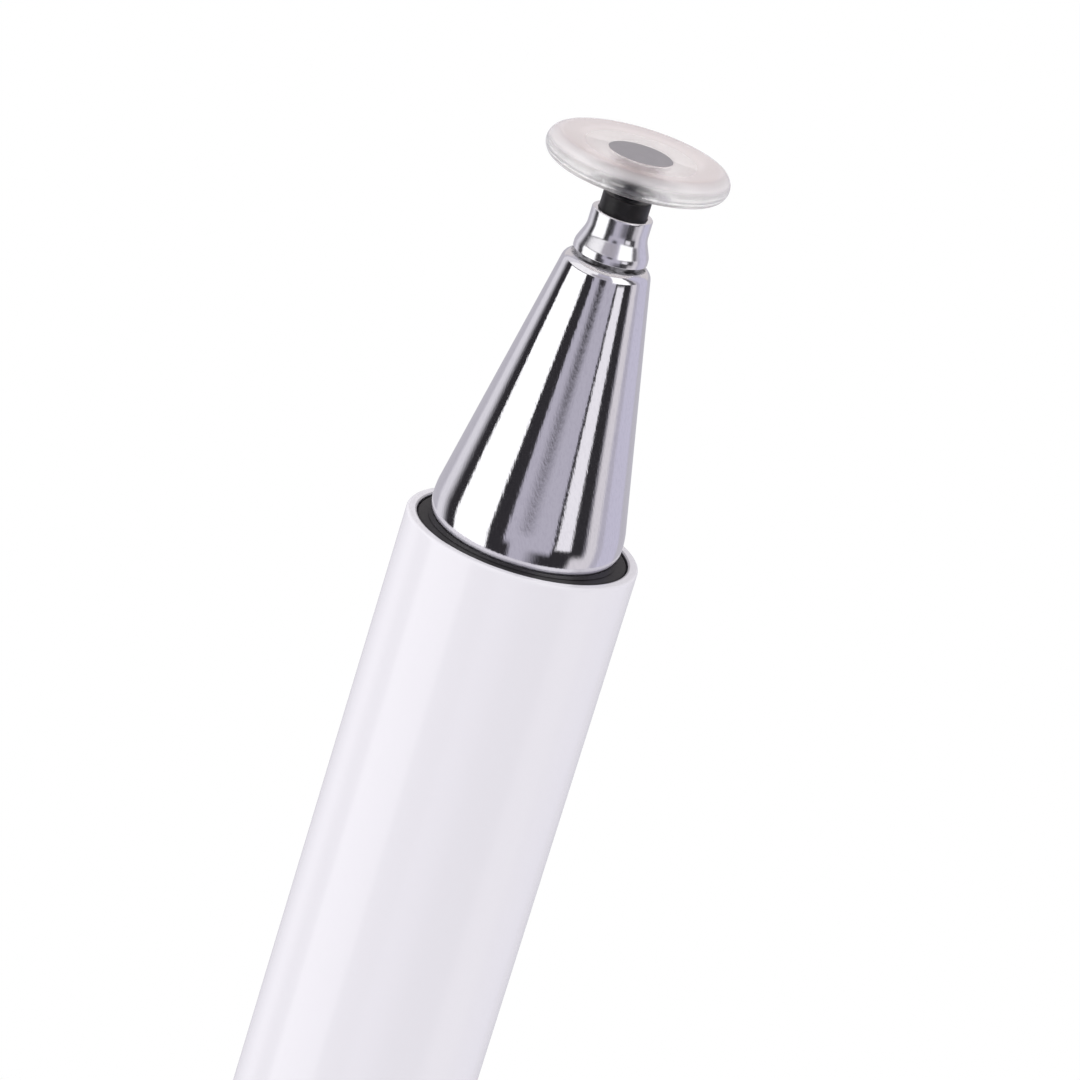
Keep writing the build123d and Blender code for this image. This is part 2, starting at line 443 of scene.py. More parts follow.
@dataclass(frozen=True)
class PlatedChrome(Finish):
    """Bright plating over a surface that was ground on the slant, whose grain still shows.

    Attributes:
        colour: The plating.
        shade: The plating in the grain.
        shade_full: The grain's height where the shade is full.
        shade_none: The grain's height where the shade ends.
        painted_shade: The painted shade, a near black colour put round the groove where shade falls.
        painted_shade_clear: The height where the painted shade ends.
        painted_shade_thick: The height where it is darkest.
        painted_shade_least: How much of it is left between its patches.
        patch_low: The noise where a patch begins.
        patch_high: The noise where a patch is full.
        grain_twist: How far the grain turns about the pen, in radians a metre.
        swell_size: The size of the slower waves under the plating.
    """

    name: str = "bright_chrome"
    colour: Colour = (0.84, 0.83, 0.86, 1.0)
    shade: Colour = (0.79, 0.78, 0.815, 1.0)
    shade_full: float = 0.25
    shade_none: float = 0.6
    gloss: float = 0.04
    grain_gloss: float = 0.06
    painted_shade: Colour = (0.02, 0.018, 0.02, 1.0)
    painted_shade_clear: float = 1.0
    painted_shade_thick: float = 2.0
    painted_shade_least: float = 0.4
    painted_shade_gloss: float = 0.5
    patch_size: float = 0.5 * MM
    patch_low: float = 0.35
    patch_high: float = 0.62
    grain_size: float = 0.085 * MM
    grain_stretch: float = 2.6
    grain_twist: float = 0.1 / MM
    grain_depth: float = 0.0020 * MM
    swell_size: float = 0.5 * MM
    swell_stretch: float = 2.5
    swell_depth: float = 0.0012 * MM

    def write(self, shader: Shader) -> None:
        """Write the plating's colour, gloss and grain, and the painted shade round its groove.

        Args:
            shader: The material's shader.
        """
        height = shader.height()
        patches = shader.ramp(shader.noise(self.patch_size), self.patch_low, self.patch_high)
        # Painted shade: the plating turns near black, dull and rough round the groove, in patches.
        painted_shade_mask = shader.ramp(height, self.painted_shade_clear, self.painted_shade_thick)
        painted_shade_mask = painted_shade_mask * (self.painted_shade_least + (1.0 - self.painted_shade_least) * patches)
        grain = shader.noise(self.grain_size, FINE, self.grain_stretch, self.grain_twist)
        swell = shader.noise(self.swell_size, SMOOTH, self.swell_stretch)
        waves = grain + (self.swell_depth / self.grain_depth) * swell
        plating = shader.mix(shader.ramp(grain, self.shade_full, self.shade_none), self.shade, self.colour)
        shader.surface(
            Base_Color=shader.mix(painted_shade_mask, plating, self.painted_shade),
            Metallic=1.0 - painted_shade_mask,
            Roughness=self.gloss + self.grain_gloss * grain + self.painted_shade_gloss * painted_shade_mask,
            Normal=shader.bump(waves, self.grain_depth),
        )


@dataclass(frozen=True)
class BlackRubber(Finish):
    """Black rubber with a fine moulded skin and a little dust.

    Attributes:
        colour: The rubber.
        dust: The rubber under its dust.
        sheen: How strongly the rubber shines.
        dust_low: The noise where a patch begins.
        dust_high: The noise where a patch is full.
    """

    name: str = "black_rubber"
    colour: Colour = (0.011, 0.010, 0.011, 1.0)
    dust: Colour = (0.026, 0.024, 0.026, 1.0)
    gloss: float = 0.42
    skin_gloss: float = 0.15
    dust_gloss: float = 0.1
    sheen: float = 0.3
    skin_size: float = 0.07 * MM
    skin_depth: float = 0.002 * MM
    dust_size: float = 0.3 * MM
    dust_low: float = 0.45
    dust_high: float = 0.8
    index: float = 1.5

    def write(self, shader: Shader) -> None:
        """Write the rubber's colour, dust, sheen and skin.

        Args:
            shader: The material's shader.
        """
        skin = shader.noise(self.skin_size)
        dusty = shader.ramp(shader.noise(self.dust_size, FINEST), self.dust_low, self.dust_high)
        shader.surface(
            Base_Color=shader.mix(dusty, self.colour, self.dust),
            Roughness=self.gloss + self.skin_gloss * skin + self.dust_gloss * dusty,
            Normal=shader.bump(skin, self.skin_depth),
            Specular_IOR_Level=self.sheen,
            IOR=self.index,
        )


@dataclass(frozen=True)
class TurnedMetal(Finish):
    """Bare metal off the lathe, with the tool's fine rings along its sides and across its faces.

    Attributes:
        colour: The metal.
        shade: The metal in the rings.
        ring_pitch: The spacing of the tool's rings.
    """

    name: str
    colour: Colour
    shade: Colour
    gloss: float = 0.22
    cloud_gloss: float = 0.12
    cloud_size: float = 0.4 * MM
    ring_pitch: float = 0.04 * MM
    ring_depth: float = 0.0006 * MM

    def write(self, shader: Shader) -> None:
        """Write the metal, its clouded sheen and the tool's rings.

        Args:
            shader: The material's shader.
        """
        along = (shader.height() + shader.radius()) * (FULL_TURN / self.ring_pitch)
        rings = 0.5 + 0.5 * shader.math(Operation.SINE, along)
        cloud = shader.noise(self.cloud_size, FINE)
        shader.surface(
            Base_Color=shader.mix(rings * cloud, self.colour, self.shade),
            Metallic=1.0,
            Roughness=self.gloss + self.cloud_gloss * cloud,
            Normal=shader.bump(rings, self.ring_depth),
        )


BRASS = TurnedMetal("turned_brass", (0.78, 0.58, 0.27, 1.0), (0.66, 0.46, 0.2, 1.0), gloss=0.2)
DARK_STEEL = TurnedMetal("turned_steel", (0.18, 0.18, 0.2, 1.0), (0.13, 0.13, 0.15, 1.0))
SPRING_STEEL = TurnedMetal("spring_steel", (0.42, 0.42, 0.44, 1.0), (0.3, 0.3, 0.32, 1.0), gloss=0.34)
SATIN_METAL = TurnedMetal("satin_button", (0.52, 0.51, 0.525, 1.0), (0.46, 0.45, 0.46, 1.0), gloss=0.42)


@dataclass(frozen=True)
class ClearPlastic(Finish):
    """Clear moulded plastic, which may have a dull face and painted shade at its lip.

    Attributes:
        colour: The plastic.
        rub_size: The width of its fine scratches.
        body: How much of the light it bends, the rest passing straight through.
        film: How much of the light its dull face stops.
        film_middle: The same near the middle of the face.
        film_edge: The same where the face turns down over the edge.
        film_colour: The dull face.
        film_edge_highlight: The dull face where it turns down, painted lighter there as a painted highlight
            on the curved edge.
        film_low: The height where the dull face begins.
        film_high: The height where it is full.
        middle_inner: The radius where the middle of the face ends.
        middle_outer: The radius where the rest of the face begins.
        edge_inner: The radius where the face starts to turn down.
        edge_outer: The radius where it has turned down.
        shade_band_low: The height below which the plastic is painted dark, a painted shade.
        shade_band_high: The height above which it is clear.
        shade_band_colour: The painted shade at the lip.
    """

    name: str = "clear_plastic"
    colour: Colour = (0.99, 0.985, 0.99, 1.0)
    gloss: float = 0.1
    rub_gloss: float = 0.05
    rub_size: float = 0.12 * MM
    rub_depth: float = 0.0003 * MM
    index: float = 1.49
    body: float = 0.72
    film: float = 0.5
    film_middle: float = 0.34
    film_edge: float = 0.5
    film_colour: Colour = (0.64, 0.52, 0.50, 1.0)
    film_edge_highlight: Colour = (0.92, 0.875, 0.87, 1.0)
    film_gloss: float = 0.2
    film_rub_gloss: float = 0.1
    film_low: float = 1.0
    film_high: float = 1.0
    middle_inner: float = 1.5 * MM
    middle_outer: float = 2.3 * MM
    edge_inner: float = 2.9 * MM
    edge_outer: float = 3.4 * MM
    shade_band_low: float = 0.0
    shade_band_high: float = 0.0
    shade_band_colour: Colour = (0.02, 0.02, 0.024, 1.0)

    def write(self, shader: Shader) -> None:
        """Write the clear plastic, its dull face and the painted shade at its lip.

        Args:
            shader: The material's shader.
        """
        height = shader.height()
        rub = shader.noise(self.rub_size, FINE)
        skin = shader.bump(rub, self.rub_depth)
        # Painted shade: below a height the plastic is painted dark and opaque.
        lip = shader.ramp(height, self.shade_band_high, self.shade_band_low)
        turned = shader.ramp(shader.radius(), self.edge_inner, self.edge_outer)
        dull = shader.ramp(height, self.film_low, self.film_high)
        clear = shader.principled(
            Base_Color=shader.mix(lip, self.colour, self.shade_band_colour),
            Roughness=self.gloss + self.rub_gloss * rub,
            Normal=skin,
            Alpha=self.body + lip * (1.0 - self.body),
            Transmission_Weight=1.0,
            IOR=self.index,
        )
        film = shader.principled(
            # Painted highlight: the dull face is painted lighter where it turns down over the edge.
            Base_Color=shader.mix(turned, self.film_colour, self.film_edge_highlight),
            Roughness=self.film_gloss + self.film_rub_gloss * rub,
            Normal=skin,
            IOR=self.index,
        )
        outside = shader.ramp(shader.radius(), self.middle_inner, self.middle_outer)
        share = self.film_middle + outside * (self.film - self.film_middle)
        share = dull * (share + turned * (self.film_edge - self.film))
        shader.finish(shader.blend(share, clear, film))


@dataclass(frozen=True)
class PaleFloor(Finish):
    """A white floor that keeps the pen's shadow and fades out towards its edge.

    Attributes:
        colour: The floor in plain light.
        glow: How much of the white behind it shows in the floor where it is looked at.
        radius: The floor's radius.
        fade: How wide the edge is over which it fades.
    """

    name: str = "pale_floor"
    colour: Colour = (0.93, 0.93, 0.94, 1.0)
    glow: float = 0.55
    radius: float = 210.0 * MM
    fade: float = 90.0 * MM

    def write(self, shader: Shader) -> None:
        """Write the floor, its glow and its faded edge.

        Args:
            shader: The material's shader.
        """
        camera, glossy, through = shader.rays()
        seen = shader.math(Operation.MAXIMUM, shader.math(Operation.MAXIMUM, camera, glossy), through)
        matt = shader.out("ShaderNodeBsdfDiffuse", None, {"Color": self.colour})
        white = shader.out("ShaderNodeEmission", None, {"Color": WHITE, "Strength": 1.0})
        clear = shader.out("ShaderNodeBsdfTransparent")
        lit = shader.blend(seen * self.glow, matt, white)
        edge = shader.ramp(shader.radius(), self.radius - self.fade, self.radius)
        shader.finish(shader.blend(edge, lit, clear))


@dataclass(frozen=True)
class Reach:
    """How far a turned CAD node reaches."""

    radius: float
    bottom: float
    top: float

    @classmethod
    def of(cls, node: str) -> "Reach":
        """Return the reach of a node, read from the frame."""
        low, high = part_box(node)
        return cls(radius=high.x, bottom=low.z, top=high.z)


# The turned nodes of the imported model
TUBE = Reach.of("barrel")
PLUG = Reach.of("tail_plug")
BUSH = Reach.of("front_bush")
RING = Reach.of("seal_ring")
NOSE = Reach.of("nose_cone")
NOZZLE = Reach.of("tip_nozzle")
STEM = Reach.of("stem_sleeve")
PIN = Reach.of("ball_stud")
CLIP = Reach.of("stud_clip")
HUB = Reach.of("ball_socket")
BUTTON = Reach.of("contact_plate")
DISC = Reach.of("touch_disc")


class Outline:
    """The outline of a turned piece, drawn in the plane of radius and height."""

    def __init__(self, radius: float, height: float) -> None:
        """Put the pen down on the first corner.

        Args:
            radius: The corner's distance from the axis.
            height: Its height.
        """
        self.mesh = bmesh.new()
        self.rounds: list[tuple[bmesh.types.BMVert, float]] = []
        self.first = self.last = self._corner(radius, height)

    def _corner(self, radius: float, height: float, rounding: float = 0.0) -> bmesh.types.BMVert:
        """Make a corner, and note the rounding that it asks for.

        Args:
            radius: Its distance from the axis.
            height: Its height.
            rounding: The radius that rounds it.

        Returns:
            The new corner.
        """
        made = self.mesh.verts.new((radius, 0.0, height))
        if rounding > 0:
            self.rounds.append((made, rounding))
        return made

    def lines(self, *corners: Corner) -> "Outline":
        """Draw straight lines from corner to corner.

        Args:
            corners: The radius and height of each, and the radius that rounds it, if any.

        Returns:
            This outline.
        """
        for corner in corners:
            made = self._corner(*corner)
            self.mesh.edges.new((self.last, made))
            self.last = made
        return self

    def arc(self, end: Point, centre: Point) -> "Outline":
        """Draw an arc about a centre, the short way round.

        Args:
            end: The radius and height that it runs to.
            centre: The radius and height that it runs about.

        Returns:
            This outline.
        """
        start = self.last.co
        first = math.atan2(start.z - centre[1], start.x - centre[0])
        sweep = math.atan2(end[1] - centre[1], end[0] - centre[0]) - first
        sweep = (sweep + math.pi) % FULL_TURN - math.pi
        made = bmesh.ops.spin(
            self.mesh,
            geom=[self.last],
            cent=(centre[0], 0.0, centre[1]),
            axis=(0.0, -1.0, 0.0),
            angle=sweep,
            steps=ARC_SEGMENTS,
        )
        self.last = next(item for item in made["geom_last"] if isinstance(item, bmesh.types.BMVert))
        return self

    def close(self) -> "Outline":
        """Draw a straight line back to the first corner, or join an arc that ended on it.

        Returns:
            This outline.
        """
        if (self.last.co - self.first.co).length > MERGE_DISTANCE:
            self.mesh.edges.new((self.last, self.first))
        return self

    def _round_corners(self) -> None:
        """Round the corners, with a held point on each side so that long faces stay flat."""
        for corner, rounding in self.rounds:
            ways = [edge.other_vert(corner).co - corner.co for edge in corner.link_edges]
            reach = rounding / math.tan(ways[0].angle(ways[1]) / 2)
            for edge in corner.link_edges[:]:
                length = edge.calc_length()
                if length > 2 * HOLD_SHARE * reach:
                    bmesh.utils.edge_split(edge, corner, HOLD_SHARE * reach / length)
            bmesh.ops.bevel(
                self.mesh,
                geom=[corner],
                offset=reach,
                offset_type="OFFSET",
                segments=ROUND_SEGMENTS,
                profile=0.5,
                affect="VERTICES",
                material=-1,
            )

    def turned(self) -> Mesh:
        """Turn the outline about the pen's axis.

        Returns:
            The closed mesh.
        """
        mesh = self.mesh
        bmesh.ops.remove_doubles(mesh, verts=mesh.verts[:], dist=MERGE_DISTANCE)
        self._round_corners()
        bmesh.ops.spin(
            mesh,
            geom=mesh.verts[:] + mesh.edges[:],
            cent=ORIGIN,
            axis=AXIS,
            angle=FULL_TURN,
            steps=TURN_STEPS,
            use_merge=True,
        )
        return settled(mesh)


def settled(mesh: Mesh) -> Mesh:
    """Merge a mesh's doubles, turn its faces outwards and smooth all but its creases.

    Args:
        mesh: A mesh fresh from its operators.

    Returns:
        The same mesh.
    """
    bmesh.ops.remove_doubles(mesh, verts=mesh.verts[:], dist=MERGE_DISTANCE)
    bmesh.ops.recalc_face_normals(mesh, faces=mesh.faces[:])
    for face in mesh.faces:
        face.smooth = True
    for edge in mesh.edges:
        edge.smooth = edge.calc_face_angle(0.0) < CREASE_ANGLE
    return mesh


@dataclass(frozen=True)
class Thread:
    """A screw thread's ridge, wound about the pen's axis.

    Attributes:
        foot: The radius that the ridge stands on.
        crest: The radius that it reaches, which is less than the foot inside a bore.
        bottom: Where it starts.
        top: Where it ends.
        pitch: The rise of one turn.
        sunk: How far its foot goes into what carries it.
        turn_steps: How many facets one turn has.
        spare_turns: How many turns are wound beyond it, to be trimmed off.
        crest_share: The width of the crest, as a share of the pitch.
        foot_share: The width of the foot, as a share of the pitch.
        lead_share: The length over which it grows and fades, as a share of the pitch.
    """

    foot: float
    crest: float
    bottom: float
    top: float
    pitch: float = THREAD_PITCH
    sunk: float = 0.05 * MM
    turn_steps: int = 64
    spare_turns: int = 2
    crest_share: float = 0.14
    foot_share: float = 0.86
    lead_share: float = 0.5

    def wound(self) -> Mesh:
        """Wind the ridge's section up the axis and trim both ends.

        Returns:
            The closed ridge.
        """
        mesh = bmesh.new()
        inner = self.foot - math.copysign(self.sunk, self.crest - self.foot)
        turns = math.ceil((self.top - self.bottom) / self.pitch) + self.spare_turns
        low = self.bottom - self.pitch
        half_foot = self.foot_share * self.pitch / 2
        half_crest = self.crest_share * self.pitch / 2
        section = (
            (inner, low - half_foot),
            (self.crest, low - half_crest),
            (self.crest, low + half_crest),
            (inner, low + half_foot),
        )
        face = mesh.faces.new([mesh.verts.new((radius, 0.0, height)) for radius, height in section])
        bmesh.ops.spin(
            mesh,
            geom=[face],
            cent=ORIGIN,
            axis=AXIS,
            dvec=(0.0, 0.0, self.pitch / self.turn_steps),
            angle=FULL_TURN * turns,
            steps=self.turn_steps * turns,
        )
        self._trim(mesh, self.bottom, -1.0)
        self._trim(mesh, self.top, 1.0)
        self._fade(mesh)
        return settled(mesh)

    @staticmethod
    def _trim(mesh: Mesh, height: float, side: float) -> None:
        """Cut off what lies past a height, and close the cut.

        Args:
            mesh: The wound ridge.
            height: Where it is cut.
            side: 1 to cut off what lies above, -1 to cut off what lies below.
        """
        cut = bmesh.ops.bisect_plane(
            mesh,
            geom=mesh.verts[:] + mesh.edges[:] + mesh.faces[:],
            dist=MERGE_DISTANCE,
            plane_co=(0.0, 0.0, height),
            plane_no=(0.0, 0.0, side),
            clear_outer=True,
        )
        rim = [item for item in cut["geom_cut"] if isinstance(item, bmesh.types.BMEdge)]
        bmesh.ops.edgenet_fill(mesh, edges=rim)

    def _fade(self, mesh: Mesh) -> None:
        """Let the ridge grow from its foot at one end and fade into it at the other.

        Args:
            mesh: The trimmed ridge.
        """
        lead = self.lead_share * self.pitch
        for vert in mesh.verts:
            margin = min(vert.co.z - self.bottom, self.top - vert.co.z)
            share = min(max(margin / lead, 0.0), 1.0)
            limit = self.foot + (self.crest - self.foot) * share
            radius = vert.co.xy.length
            past = radius > limit if self.crest > self.foot else radius < limit
            if past:
                vert.co.xy *= limit / radius


def placed(name: str, data: bpy.types.ID) -> bpy.types.Object:
    """Put a new object into the scene.

    Args:
        name: The object's name.
        data: Its mesh, lamp or lens.

    Returns:
        The object.
    """
    made = bpy.data.objects.new(name, data)
    bpy.context.scene.collection.objects.link(made)
    return made


def shaped(name: str, mesh: Mesh) -> bpy.types.Object:
    """Put a new object with a mesh into the scene.

    Args:
        name: The object's name.
        mesh: Its mesh, which is freed.

    Returns:
        The object.
    """
    data = bpy.data.meshes.new(name)
    mesh.to_mesh(data)
    mesh.free()
    return placed(name, data)


@dataclass
class Group(ABC):
    """A sub-assembly of the pen, whose pieces ride on one body."""

    body: ClassVar[Body]
    pieces: dict[str, bpy.types.Object] = field(default_factory=dict, init=False)

    @abstractmethod
    def build(self) -> None:
        """Build the group's pieces."""

    @abstractmethod
    def dress(self) -> None:
        """Give each piece its finish."""

    def seat(self, name: str, mesh: Mesh, slot: Slot, node: str | None = None) -> None:
        """Make a piece of a mesh and seat it on the group's body.

        Args:
            name: The piece's name.
            mesh: Its mesh, which is freed.
            slot: Its material slot; not used.
            node: The CAD node that it stands for, if any.
        """
        piece = shaped(name, mesh)
        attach(piece, self.body.value)
        if node:
            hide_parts(node)
        self.pieces[name] = piece

    def coat(self, name: str, finish: Finish) -> None:
        """Give a piece one finish all over, and report it.

        Args:
            name: The piece's name.
            finish: Its finish.
        """
        data = self.pieces[name].data
        data.materials.clear()
        data.materials.append(finish.material())
        log.info("%s: %d faces, %s", name, len(data.polygons), finish.name)


@dataclass
class BarrelGroup(Group):
    """The painted tube with its tail stopper and its tapped front bush."""

    body: ClassVar[Body] = Body.BARREL
    wall: float = 0.4 * MM
    mouth_outer_round: float = 0.11 * MM
    mouth_inner_round: float = 0.06 * MM
    tail_end_round: float = 0.05 * MM
    stopper_round: float = 0.6 * MM
    stopper_top_round: float = 0.08 * MM
    spigot_wall: float = 0.9 * MM
    spigot_lead: float = 0.3 * MM
    bush_wall: float = 1.55 * MM
    bush_lead: float = 0.35 * MM
    glue_groove_width: float = 2.0 * MM
    glue_groove_depth: float = 0.25 * MM

    def build(self) -> None:
        """Build the tube, the stopper, the bush and the bush's thread."""
        self.seat("barrel_tube", self.turn_tube(), Slot.PAINT, "barrel")
        self.seat("tail_stopper", self.turn_stopper(), Slot.TAIL, "tail_plug")
        self.seat("bush_insert", self.turn_bush(), Slot.BRASS, "front_bush")
        self.seat("bush_thread", self.wind_thread(), Slot.BRASS)

    def turn_tube(self) -> Mesh:
        """Turn the tube, rounded at its mouth.

        Returns:
            The tube's mesh.
        """
        bore = TUBE.radius - self.wall
        outline = Outline(bore, TUBE.bottom).lines(
            (TUBE.radius, TUBE.bottom, self.tail_end_round),
            (TUBE.radius, TUBE.top, self.mouth_outer_round),
            (bore, TUBE.top, self.mouth_inner_round),
        )
        return outline.close().turned()

    def turn_stopper(self) -> Mesh:
        """Turn the stopper, with a soft edge at the tail and a hollow spigot.

        Returns:
            The stopper's mesh.
        """
        flange_top = TUBE.bottom
        spigot = BUSH.radius
        bore = spigot - self.spigot_wall
        outline = Outline(0.0, PLUG.bottom).lines(
            (PLUG.radius, PLUG.bottom, self.stopper_round),
            (PLUG.radius, flange_top, self.stopper_top_round),
            (spigot, flange_top),
            (spigot, PLUG.top, self.spigot_lead),
            (bore, PLUG.top),
            (bore, flange_top),
            (0.0, flange_top),
        )
        return outline.turned()

    def bush_bore(self) -> float:
        """Return the radius of the bush's bore."""
        return BUSH.radius - self.bush_wall

    def turn_bush(self) -> Mesh:
        """Turn the bush, with its glue groove and its lead-in.

        Returns:
            The bush's mesh.
        """
        bore = self.bush_bore()
        groove = BUSH.radius - self.glue_groove_depth
        middle = (BUSH.bottom + BUSH.top) / 2
        groove_low = middle - self.glue_groove_width / 2
        groove_high = middle + self.glue_groove_width / 2
        outline = Outline(bore, BUSH.bottom).lines(
            (BUSH.radius, BUSH.bottom),
            (BUSH.radius, groove_low),
            (groove, groove_low),
            (groove, groove_high),
            (BUSH.radius, groove_high),
            (BUSH.radius, BUSH.top),
            (bore + self.bush_lead, BUSH.top),
            (bore, BUSH.top - self.bush_lead),
        )
        return outline.close().turned()

    def wind_thread(self) -> Mesh:
        """Wind the thread inside the bush.

        Returns:
            The thread's mesh.
        """
        bore = self.bush_bore()
        return Thread(bore, bore - THREAD_DEPTH, BUSH.bottom, BUSH.top - self.bush_lead).wound()

    def dress(self) -> None:
        """Paint the tube and finish the stopper and the bush."""
        self.coat("barrel_tube", GlossPaint())
        self.coat("tail_stopper", MouldedPlastic())
        self.coat("bush_insert", BRASS)
        self.coat("bush_thread", BRASS)


@dataclass
class SealGroup(Group):
    """The black washer in the barrel's mouth, with a land that the nose stands on."""

    body: ClassVar[Body] = Body.SEAL
    bore: float = 2.03 * MM
    land_radius: float = 3.579 * MM
    land_height: float = 0.15 * MM
    rim_round: float = 0.12 * MM
    corner_round: float = 0.08 * MM

    def build(self) -> None:
        """Build the washer."""
        self.seat("seal_band", self.turn_washer(), Slot.SEAL, "seal_ring")

    def turn_washer(self) -> Mesh:
        """Turn the washer, with its land above its flange.

        Returns:
            The washer's mesh.
        """
        flange = RING.top - self.land_height
        outline = Outline(self.bore, RING.bottom).lines(
            (RING.radius, RING.bottom),
            (RING.radius, flange, self.rim_round),
            (self.land_radius, flange, self.corner_round),
            (self.land_radius, RING.top),
            (self.bore, RING.top),
        )
        return outline.close().turned()

    def dress(self) -> None:
        """Finish the washer in rubber."""
        self.coat("seal_band", BlackRubber("seal_rubber"))


@dataclass
class NoseGroup(Group):
    """The plated nose on its screwed shank, the nozzle on top of it and the black stem."""

    body: ClassVar[Body] = Body.NIB
    foot_radius: float = 3.655 * MM
    foot_hang: float = 0.13 * MM
    foot_land: float = 0.19 * MM
    foot_bore: float = 3.589 * MM
    girth_radius: float = 3.71 * MM
    girth_height: float = 0.78 * MM
    girth_round: float = 3.0 * MM
    shoulder_radius: float = 1.64 * MM
    shoulder_round: float = 0.42 * MM
    shank_radius: float = 2.5 * MM
    shank_chamfer: float = 0.2 * MM
    relief_radius: float = 2.0 * MM
    thread_runout: float = 0.3 * MM
    drill_radius: float = 0.9 * MM
    socket_radius: float = 1.21 * MM
    nozzle_lip_radius: float = 1.16 * MM
    nozzle_lip_round: float = 0.07 * MM
    nozzle_bore_round: float = 0.035 * MM
    nozzle_neck_height: float = 0.8 * MM
    nozzle_flare_height: float = 0.64 * MM
    nozzle_waist_round: float = 0.8 * MM
    nozzle_brow_round: float = 0.5 * MM
    nozzle_skirt_height: float = 0.27 * MM
    nozzle_skirt_round: float = 0.04 * MM
    nozzle_seat_radius: float = 1.27 * MM
    nozzle_spigot_radius: float = 1.2 * MM
    nozzle_floor: float = 0.4 * MM
    nozzle_grain_depth: float = 0.0008 * MM
    nozzle_swell_depth: float = 0.0004 * MM
    nozzle_gloss: float = 0.13
    groove_height: float = 0.16 * MM
    painted_shade_edge: float = 0.015 * MM
    painted_shade_reach: float = 0.045 * MM
    stem_bore: float = 0.43 * MM
    stem_round: float = 0.06 * MM
    stem_gloss: float = 0.3

    def build(self) -> None:
        """Build the nose, its thread, the nozzle and the stem."""
        self.seat("nose_taper", self.turn_nose(), Slot.CHROME, "nose_cone")
        self.seat("nose_thread", self.wind_thread(), Slot.CHROME)
        self.seat("tip_ferrule", self.turn_nozzle(), Slot.CHROME, "tip_nozzle")
        self.seat("stem_lining", self.turn_stem(), Slot.STEM, "stem_sleeve")

    def thread_foot(self) -> float:
        """Return the radius that the shank's thread stands on."""
        return self.shank_radius - THREAD_DEPTH

    def relief_bottom(self) -> float:
        """Return the height where the thread stops and the relief begins."""
        return RING.bottom - self.thread_runout

    def turn_nose(self) -> Mesh:
        """Turn the taper on its shank, bored for the nozzle.

        Returns:
            The nose's mesh.
        """
        base = RING.top
        foot = base - self.foot_hang
        socket_floor = NOZZLE.bottom
        root = self.thread_foot()
        outline = Outline(self.drill_radius, NOSE.bottom).lines(
            (root - self.shank_chamfer, NOSE.bottom),
            (root, NOSE.bottom + self.shank_chamfer),
            (root, self.relief_bottom()),
            (self.relief_radius, self.relief_bottom()),
            (self.relief_radius, base),
            (self.foot_bore, base),
            (self.foot_bore, foot),
            (self.foot_radius, foot),
            (self.foot_radius, foot + self.foot_land),
            (self.girth_radius, base + self.girth_height, self.girth_round),
            (self.shoulder_radius, NOSE.top, self.shoulder_round),
            (self.socket_radius, NOSE.top),
            (self.socket_radius, socket_floor),
            (self.drill_radius, socket_floor),
        )
        return outline.close().turned()

    def wind_thread(self) -> Mesh:
        """Wind the thread on the shank.

        Returns:
            The thread's mesh.
        """
        bottom = NOSE.bottom + self.shank_chamfer
        return Thread(self.thread_foot(), self.shank_radius, bottom, self.relief_bottom()).wound()

    def turn_nozzle(self) -> Mesh:
        """Turn the ferrule: a skirt, a flare, a neck with a rounded lip, and a spigot.

        Returns:
            The nozzle's mesh.
        """
        seat = NOSE.top
        bore = STEM.radius + FIT
        neck = NOZZLE.top - self.nozzle_neck_height
        skirt_top = neck - self.nozzle_flare_height
        skirt = skirt_top - self.nozzle_skirt_height
        floor = STEM.bottom - self.nozzle_floor
        outline = Outline(bore, NOZZLE.bottom).lines(
            (self.nozzle_spigot_radius, NOZZLE.bottom),
            (self.nozzle_spigot_radius, seat),
            (self.nozzle_seat_radius, seat),
            (self.nozzle_seat_radius, skirt),
            (NOZZLE.radius, skirt, self.nozzle_skirt_round),
            (NOZZLE.radius, skirt_top, self.nozzle_brow_round),
            (self.nozzle_lip_radius, neck, self.nozzle_waist_round),
            (self.nozzle_lip_radius, NOZZLE.top, self.nozzle_lip_round),
            (bore, NOZZLE.top, self.nozzle_bore_round),
            (bore, STEM.bottom),
            (self.stem_bore, STEM.bottom),
            (self.stem_bore, floor),
            (bore, floor),
        )
        return outline.close().turned()

    def turn_stem(self) -> Mesh:
        """Turn the rubber lining that stands out of the nozzle.

        Returns:
            The stem's mesh.
        """
        outline = Outline(self.stem_bore, STEM.bottom).lines(
            (STEM.radius, STEM.bottom),
            (STEM.radius, STEM.top, self.stem_round),
            (self.stem_bore, STEM.top),
        )
        return outline.close().turned()

    def dress(self) -> None:
        """Plate the nose and the nozzle, with painted shade round the groove, and finish the stem in
        rubber.
        """
        seat = NOSE.top
        groove_top = seat + self.groove_height
        # Painted shade on both pieces about the nozzle's seat: the nozzle below its groove's top and the
        # nose's top ring.
        nozzle_chrome = PlatedChrome(
            "nozzle_chrome",
            painted_shade_clear=groove_top + self.painted_shade_edge,
            painted_shade_thick=groove_top - self.painted_shade_edge,
            grain_depth=self.nozzle_grain_depth,
            swell_depth=self.nozzle_swell_depth,
            gloss=self.nozzle_gloss,
        )
        nose_chrome = PlatedChrome(
            "nose_chrome",
            painted_shade_clear=seat - self.painted_shade_reach,
            painted_shade_thick=seat - self.painted_shade_edge,
        )
        self.coat("nose_taper", nose_chrome)
        self.coat("nose_thread", PlatedChrome("thread_chrome"))
        self.coat("tip_ferrule", nozzle_chrome)
        self.coat("stem_lining", BlackRubber("stem_rubber", gloss=self.stem_gloss))


